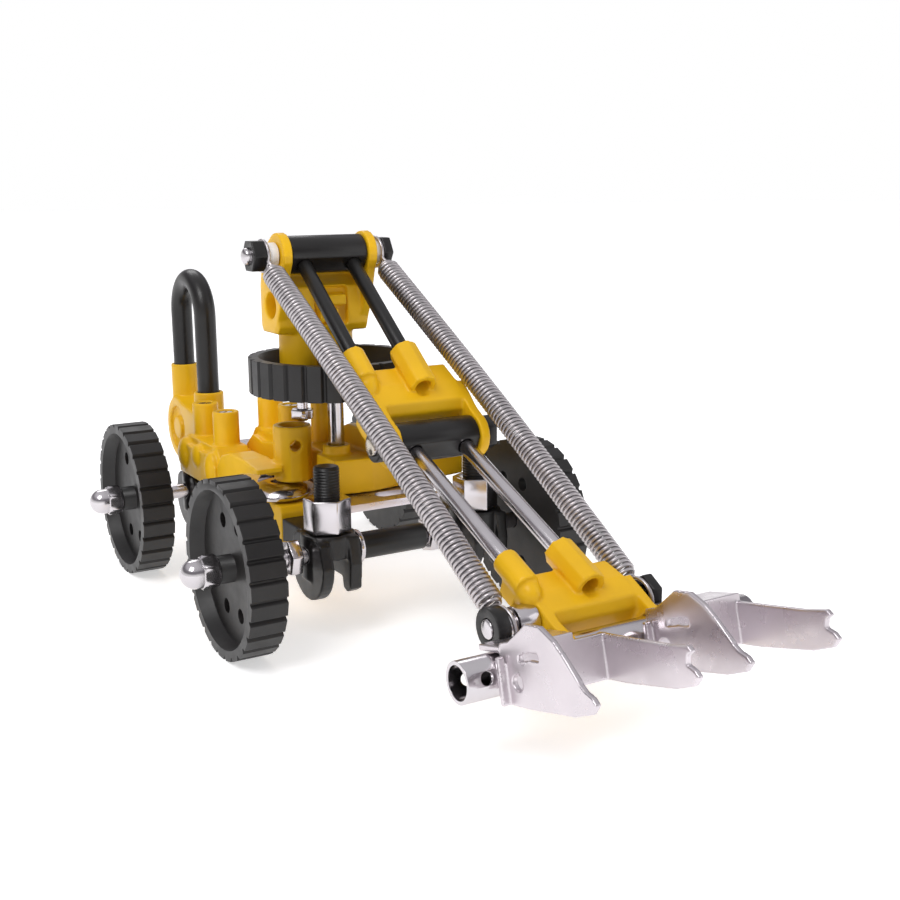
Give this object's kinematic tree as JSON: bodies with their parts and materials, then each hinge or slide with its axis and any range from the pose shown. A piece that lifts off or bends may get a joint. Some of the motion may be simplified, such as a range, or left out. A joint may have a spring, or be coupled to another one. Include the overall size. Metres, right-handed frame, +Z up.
{
  "type": "toy construction loader arm kit",
  "caption": "Four-wheeled construction-toy loader: spring-balanced two-link arm on a turntable, with a tilting metal fork, built from yellow and black plastic links.",
  "frame": {"origin": "centre of the object's bounding box in X and Y, on the ground under the wheels", "axes": "+X along the wheel axles, the arm and fork point to -Y, +Z up"},
  "size_m": [0.107, 0.222, 0.0956],
  "materials": {
    "yellow_plastic": "semi-gloss moulded",
    "black_plastic": "satin moulded",
    "chromed_steel": "bright plated",
    "white_nylon": "satin"
  },
  "bodies": {
    "chassis": {"acorn_nut_front_left": "chromed_steel", "acorn_nut_front_right": "chromed_steel", "acorn_nut_rear_left": "chromed_steel", "acorn_nut_rear_right": "chromed_steel", "axle_front": "chromed_steel", "axle_rear": "chromed_steel", "axle_nut_left": "chromed_steel", "axle_nut_right": "chromed_steel", "axle_spacer_tube": "black_plastic", "axle_washer": "chromed_steel", "centre_connector": "yellow_plastic", "clevis_front_left": "black_plastic", "clevis_front_right": "black_plastic", "clevis_rear_left": "black_plastic", "clevis_rear_right": "black_plastic", "clevis_nut_front_left": "chromed_steel", "clevis_nut_front_right": "chromed_steel", "dome_washer": "chromed_steel", "front_connector": "yellow_plastic", "front_hanger": "yellow_plastic", "middle_connector": "yellow_plastic", "rear_connector": "yellow_plastic", "rear_socket_block": "yellow_plastic", "slotted_deck_bar": "chromed_steel", "turntable_pin": "chromed_steel", "u_tube": "black_plastic"},
    "turret": {"turret_block": "yellow_plastic", "turntable": "black_plastic", "shoulder_bolt": "chromed_steel", "shoulder_collar_left": "white_nylon", "shoulder_collar_right": "white_nylon", "shoulder_nut_left": "black_plastic", "shoulder_nut_right": "black_plastic", "turret_stud_left": "chromed_steel", "turret_stud_right": "chromed_steel", "turret_stud_nut": "chromed_steel"},
    "boom": {"shoulder_barrel": "black_plastic", "boom_rod_left": "black_plastic", "boom_rod_right": "black_plastic", "boom_block": "yellow_plastic", "elbow_bolt": "chromed_steel", "elbow_washer": "black_plastic", "elbow_nut": "black_plastic", "spring_left": "chromed_steel", "spring_right": "chromed_steel"},
    "stick": {"elbow_barrel": "black_plastic", "stick_rod_left": "chromed_steel", "stick_rod_right": "chromed_steel", "stick_block": "yellow_plastic", "hook_bolt": "chromed_steel", "hook_collar_left": "chromed_steel", "hook_cap_left": "black_plastic", "hook_nut_right": "black_plastic"},
    "fork": {"cross_tube": "chromed_steel", "fork_bracket_left": "chromed_steel", "fork_bracket_right": "chromed_steel"},
    "wheel_fl": {"wheel_front_left": "black_plastic"},
    "wheel_fr": {"wheel_front_right": "black_plastic"},
    "wheel_rl": {"wheel_rear_left": "black_plastic"},
    "wheel_rr": {"wheel_rear_right": "black_plastic"}
  },
  "joints": [
    {"name": "turret_swivel", "type": "hinge", "parent": "chassis", "child": "turret", "pos_m": [-0.0063, 0.0161, 0.061], "axis": [0, 0, 1], "range_deg": [-25, 25]},
    {"name": "shoulder_lift", "type": "hinge", "parent": "turret", "child": "boom", "pos_m": [-0.0063, 0.021, 0.0902], "axis": [-1, 0, 0], "range_deg": [-1, 38]},
    {"name": "elbow_bend", "type": "hinge", "parent": "boom", "child": "stick", "pos_m": [0, -0.0211, 0.0502], "axis": [-1, 0, 0], "range_deg": [-10, 18], "deforming": ["spring_left", "spring_right"]},
    {"name": "fork_tilt", "type": "hinge", "parent": "stick", "child": "fork", "pos_m": [0.0063, -0.0789, 0.0186], "axis": [-1, 0, 0], "range_deg": [-20, 12]},
    {"name": "wheel_spin_front_left", "type": "hinge", "parent": "chassis", "child": "wheel_fl", "pos_m": [-0.0405, 0.0001, 0.021], "axis": [1, 0, 0], "continuous": true},
    {"name": "wheel_spin_front_right", "type": "hinge", "parent": "chassis", "child": "wheel_fr", "pos_m": [0.0405, 0.0001, 0.021], "axis": [1, 0, 0], "continuous": true},
    {"name": "wheel_spin_rear_left", "type": "hinge", "parent": "chassis", "child": "wheel_rl", "pos_m": [-0.0405, 0.0765, 0.021], "axis": [1, 0, 0], "continuous": true},
    {"name": "wheel_spin_rear_right", "type": "hinge", "parent": "chassis", "child": "wheel_rr", "pos_m": [0.0405, 0.0765, 0.021], "axis": [1, 0, 0], "continuous": true}
  ]
}
